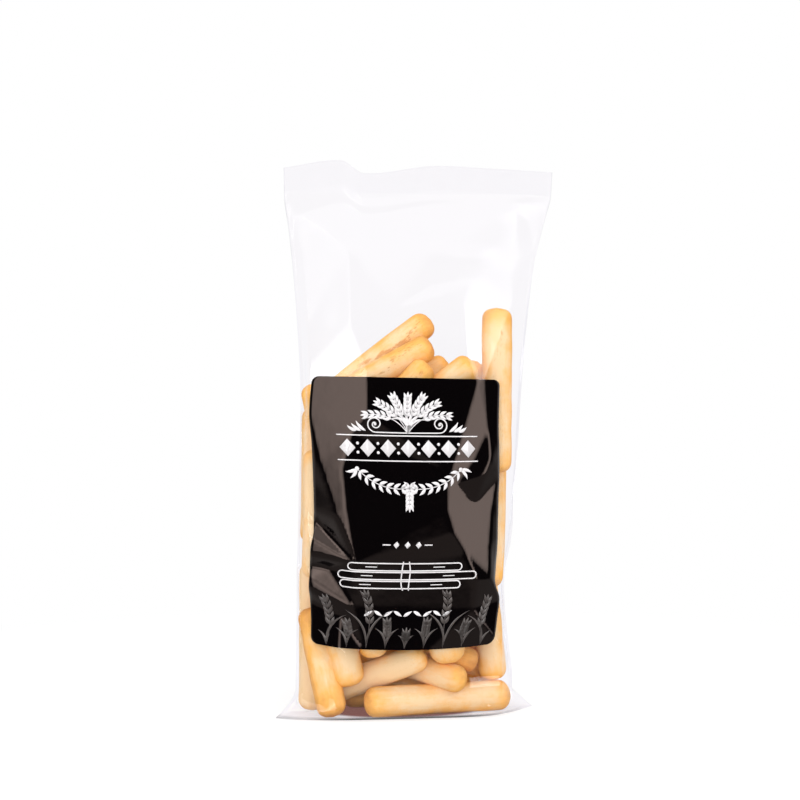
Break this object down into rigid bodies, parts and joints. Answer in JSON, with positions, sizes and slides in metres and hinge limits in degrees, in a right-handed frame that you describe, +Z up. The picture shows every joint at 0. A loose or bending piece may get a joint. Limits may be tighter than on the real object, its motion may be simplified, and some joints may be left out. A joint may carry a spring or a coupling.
{
  "type": "bag of mini grissini breadsticks",
  "caption": "Clear sealed film bag of mini breadsticks, standing on its own flattened base, with a ribbed top seal and a round-cornered black label on the front.",
  "frame": {"origin": "middle of the flat base, on the ground", "axes": "+Z up the bag to its top seal, -Y out of the front with the label, +X to the right as seen from the front"},
  "size_m": [0.1107, 0.0476, 0.214],
  "materials": {
    "film": "clear glossy packing film",
    "label": "gloss black label",
    "print": "white print",
    "bread": "dry baked crust"
  },
  "bodies": {
    "root": {"bag": "film", "label": "label"}
  },
  "joints": []
}
